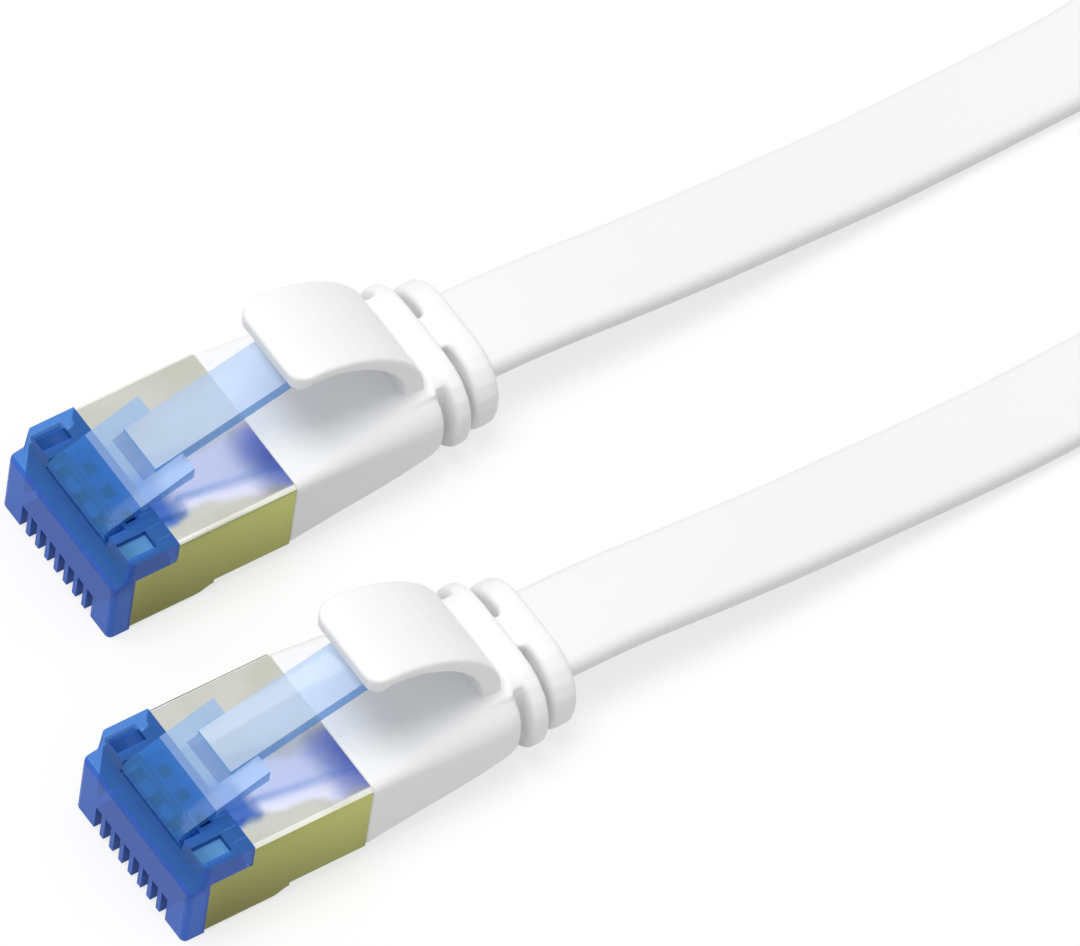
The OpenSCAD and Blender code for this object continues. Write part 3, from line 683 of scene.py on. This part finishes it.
def fill_seat(bm, side):
    """The boot's material round the guard's root and up to the first ring: moulded in one."""
    for x0, x1, outline in SEAT_FILLS:
        corners = [bm.verts.new(PLUG_ORIGIN[side] + Vector((x0, y, z)) * MM) for y, z in outline]
        face = bmesh.ops.contextual_create(bm, geom=corners)["faces"]
        grown = bmesh.ops.extrude_face_region(bm, geom=face)["geom"]
        bmesh.ops.translate(bm, vec=((x1 - x0) * MM, 0, 0),
                            verts=[v for v in grown if isinstance(v, bmesh.types.BMVert)])
    bmesh.ops.recalc_face_normals(bm, faces=bm.faces)


def in_pit(c):
    """True for a face centre on the walls or floor of a pierced opening."""
    return (PIERCED_Z[0] - NEAR < c.z < PIERCED_SKIN_Z
            and any(abs(c.x - x) < PIERCED_SIZE[0] / 2 + NEAR
                    and abs(c.y - y) < PIERCED_SIZE[1] / 2 + NEAR for x, y in pit_middles()))


def within(c, box):
    """True for a face centre in a box of the nose."""
    (x0, x1), half, (z0, z1) = box
    return x0 < c.x < x1 and abs(c.y) < half and z0 < c.z < z1


def front_corner(edge, origin):
    """True for an edge along or across a side of the nose at its front, which the mould rounds."""
    ends = ((v.co - origin) / MM for v in edge.verts)
    return all(abs(abs(c.y) - NOSE_HALF) < NEAR and c.x < NOSE_ROUND_X for c in ends)


def on_top(n, c):
    """True for a level face on the nose's top or on a pocket's floor."""
    return n.z > LEVEL and c.z > NOSE_TOP_Z[0]


def in_latch_seat(n, c):
    """True for a face of the seat that the latch's root stands in, but its steep front."""
    return (within(c, SEAT_BOX) and abs(c.y) < LATCH_SEAT_HALF and c.z < NOSE_TOP_Z[1]
            and n.x > -STEEP)


def dress_nose(plug, origin):
    """The nose: pierced, with its clear walls in tones from thin to thick, and painted shade in
    its openings, in its slots and on the far half of its top.
    """
    bm = solid_copy(plug + "housing")
    soften_edges(bm, NOSE_ROUND * MM, 20, lambda edge: front_corner(edge, origin))
    nose = finish_piece(bm, plug + "nose", NOSE_BLUE, "cable_assembly", [plug + "housing"],
                        NOSE_CREASE)
    pierce(nose, origin)
    tone_faces(nose, [
        # Painted shade in the openings, in the slots and on the far half of the top
        (NOSE_PIT_SHADE, lambda n, c: in_pit(c)),
        (NOSE_SLOT, lambda n, c: within(c, SLOT_BOX)),
        (NOSE_THIN, lambda n, c: on_top(n, c) and c.z < NOSE_TOP_Z[1] and c.y < 0),
        (NOSE_SEAT, in_latch_seat),
        (NOSE_DARK, lambda n, c: on_top(n, c) and c.y > 0),
        (NOSE_SIDE, lambda n, c: abs(n.z) < STEEP and not within(c, SEAT_BOX))], origin)


def dress_latch(plug, side, origin):
    """The latch: cut where its tones meet, dark at the root and pale along the lever."""
    bm = solid_copy(plug + "latch")
    cuts = [(Vector((x * MM, 0, 0)), (1, 0, 0)) for x in (ROOT_END, NECK_END, SHADE_X[0])]
    cuts += [(Vector((0, y * MM, 0)), (0, 1, 0)) for y in (-SHADE_HALF, SHADE_HALF)]
    for place, facing in cuts:
        bmesh.ops.bisect_plane(bm, geom=bm.verts[:] + bm.edges[:] + bm.faces[:],
                               plane_co=origin + place, plane_no=facing)
    soften_edges(bm, LATCH_ROUND * MM)
    lever = finish_piece(bm, plug + "lever", LATCH_BLUE, "latch_" + side, [plug + "latch"],
                         30)
    tone_faces(lever, [
        (LATCH_ROOT, lambda n, c: c.x < ROOT_END),
        (LATCH_NECK, lambda n, c: c.x < NECK_END),
        # Painted light on the lever's underside
        (LATCH_CLEAR, lambda n, c: n.z < LOWER),
        (LATCH_SHADE, lambda n, c: n.z > STEEP and abs(c.y) < SHADE_HALF
         and SHADE_X[0] < c.x < SHADE_X[1]),
        (LATCH_PLATE, lambda n, c: n.z > STEEP and (abs(c.y) > SHADE_HALF or c.x < SHADE_X[0])),
        (LATCH_SIDE, lambda n, c: abs(n.z) < STEEP)], origin)


def dress_shield(plug, origin):
    """The shield: painted reflection and shade on its sides, a painted highlight on its bent
    edges, and each point's place for the painted reflections on its top.
    """
    bm = solid_copy(plug + "shield")
    for name, axis in (("plug_x", 0), ("plug_y", 1)):
        layer = bm.verts.layers.float.new(name)
        for vert in bm.verts:
            vert[layer] = vert.co[axis] - origin[axis]
    shell = finish_piece(bm, plug + "shell", SHEET_TOP, "cable_assembly", [plug + "shield"],
                         30)
    # Painted highlight on the bent and front edges; painted reflection and shade on the sides
    tone_faces(shell, [(SHEET_EDGE, lambda n, c: SHEET_SLOPE < n.z < SHEET_FLAT or n.x < -STEEP),
                       (SHEET_SIDE, lambda n, c: n.z < SHEET_SLOPE)], origin)


def dress_plug(side):
    """Gives one plug's solids their finish and their rounded edges."""
    plug = "plug_%s_" % side
    origin = PLUG_ORIGIN[side]
    dress_nose(plug, origin)
    dress_latch(plug, side, origin)
    dress_shield(plug, origin)
    soft_moulding(plug + "boot", plug + "strain_relief", "cable_assembly", voxel_mm=0.14,
                  rounds=8, extra=lambda solid: fill_out(solid, side))
    soft_moulding(plug + "latch_guard", plug + "tongue", "guard_" + side, voxel_mm=0.12,
                  rounds=18)
    finish_node(plug + "load_bar", BAR_BLUE)
    for i in range(8):
        finish_node(plug + "contact_%d" % (i + 1), GOLD)
        finish_node(plug + "wire_%d" % (i + 1), WIRES[i])


# Band round the hank: its wall, its outer and inner corners and the roll of its edges
BAND_WALL = 0.6 * MM
BAND_CORNERS = (1.2 * MM, 0.1 * MM)
BAND_ROLL = 0.12 * MM


def hank_band():
    """The band round the hank: one strip bent round four corners, its edges rolled soft."""
    low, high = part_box("hank_tie")
    bm = bmesh.new()
    outer = band_loop(bm, low, high, 0.0, BAND_CORNERS[0])
    inner = band_loop(bm, low, high, BAND_WALL, BAND_CORNERS[1])
    bmesh.ops.bridge_loops(bm, edges=outer + inner)
    grown = bmesh.ops.extrude_face_region(bm, geom=bm.faces[:])["geom"]
    bmesh.ops.translate(bm, vec=(high[0] - low[0], 0, 0),
                        verts=[v for v in grown if isinstance(v, bmesh.types.BMVert)])
    bmesh.ops.recalc_face_normals(bm, faces=bm.faces)
    soften_edges(bm, BAND_ROLL, 60)
    return finish_piece(bm, "hank_band", TIE_NYLON, "cable_assembly", ["hank_tie"],
                        40)


def band_loop(bm, low, high, inset, radius):
    """One closed outline of the band, set in from the solid's box, with round corners."""
    verts = []
    for k, (sy, sz) in enumerate(((1, 1), (-1, 1), (-1, -1), (1, -1))):
        y = (high[1] if sy > 0 else low[1]) - sy * (inset + radius)
        z = (high[2] if sz > 0 else low[2]) - sz * (inset + radius)
        for step in range(5):
            turn = math.radians(90 * k + 22.5 * step)
            verts.append(bm.verts.new((low[0], y + radius * math.cos(turn),
                                       z + radius * math.sin(turn))))
    return closed_loop(bm, verts)


def finish_node(name, material):
    """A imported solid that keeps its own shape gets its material."""
    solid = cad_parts[name]
    solid.data.materials.clear()
    solid.data.materials.append(material)


flat_cable(hank_band())
for which in SIDES:
    dress_plug(which)

# ---- Floor and light ----

# Paper: its grey for the light it casts back, its grey to the eye and what it glows besides
PAPER_GREY = 0.62
PAPER_SEEN = 0.30
PAPER_GLOW = 0.69
# Sky: how bright it lights, where the camera and gloss see plain white
SKY_LIGHT = 0.58


def camera_or_gloss(tree, rays):
    """One for what the camera or a glossy reflection sees."""
    return add(tree, "Math", {"operation": "MAXIMUM"},
               {0: rays.outputs["Is Camera Ray"], 1: rays.outputs["Is Glossy Ray"]})


def white_backdrop(name):
    """Paper floor: white to the eye and in gloss, with the shadow kept as a soft grey."""
    material, tree, output = new_material(name)
    paper = add(tree, "BsdfDiffuse", {"Color": (PAPER_GREY,) * 3 + (1,)})
    seen = add(tree, "BsdfDiffuse", {"Color": (PAPER_SEEN,) * 3 + (1,)})
    glow = add(tree, "Emission", {"Color": (1, 1, 1, 1), "Strength": PAPER_GLOW})
    lit = add(tree, "AddShader", None, {0: seen.outputs["BSDF"], 1: glow.outputs["Emission"]})
    rays = add(tree, "LightPath")
    direct = camera_or_gloss(tree, rays)
    eye = add(tree, "Math", {"operation": "MAXIMUM"},
              {0: direct.outputs["Value"], 1: rays.outputs["Is Transmission Ray"]})
    surface = add(tree, "MixShader", None, {0: eye.outputs["Value"], 1: paper.outputs["BSDF"],
                                            2: lit.outputs["Shader"]})
    tree.links.new(surface.outputs["Shader"], output.inputs["Surface"])
    return material


def set_stage():
    """Lays the paper and puts an even white sky round it."""
    bm = bmesh.new()
    bmesh.ops.create_grid(bm, x_segments=1, y_segments=1, size=3)
    mesh = mesh_from(bm, "paper_floor")
    mesh.materials.append(white_backdrop("white_paper"))
    floor = add_object("paper_floor", mesh)

    world = bpy.data.worlds.new("soft_studio")
    bpy.context.scene.world = world
    world.use_nodes = True
    tree = world.node_tree
    tree.nodes.clear()
    rays = add(tree, "LightPath")
    direct = camera_or_gloss(tree, rays)
    level = add(tree, "MapRange", {"To Min": SKY_LIGHT, "To Max": 1.0},
                {"Value": direct.outputs["Value"]})
    sky = add(tree, "Background", {"Color": (1, 1, 1, 1)}, {"Strength": level.outputs["Result"]})
    tree.links.new(sky.outputs["Background"], add(tree, "OutputWorld").inputs["Surface"])


def add_softbox(name, place, target, size, level):
    """A square softbox that lights a surface facing it at the given share of plain white."""
    offset = Vector(place) - Vector(target)
    data = bpy.data.lights.new(name, "AREA")
    data.size = size
    data.energy = level * math.pi ** 2 * offset.length ** 2
    lamp = add_object(name, data)
    lamp.location = place
    lamp.rotation_euler = offset.to_track_quat("Z", "Y").to_euler()
    lamp.visible_camera = False


set_stage()
add_softbox("key_softbox", place=(-0.14, 0.07, 0.68), target=(0.01, 0, 0), size=0.36, level=0.56)
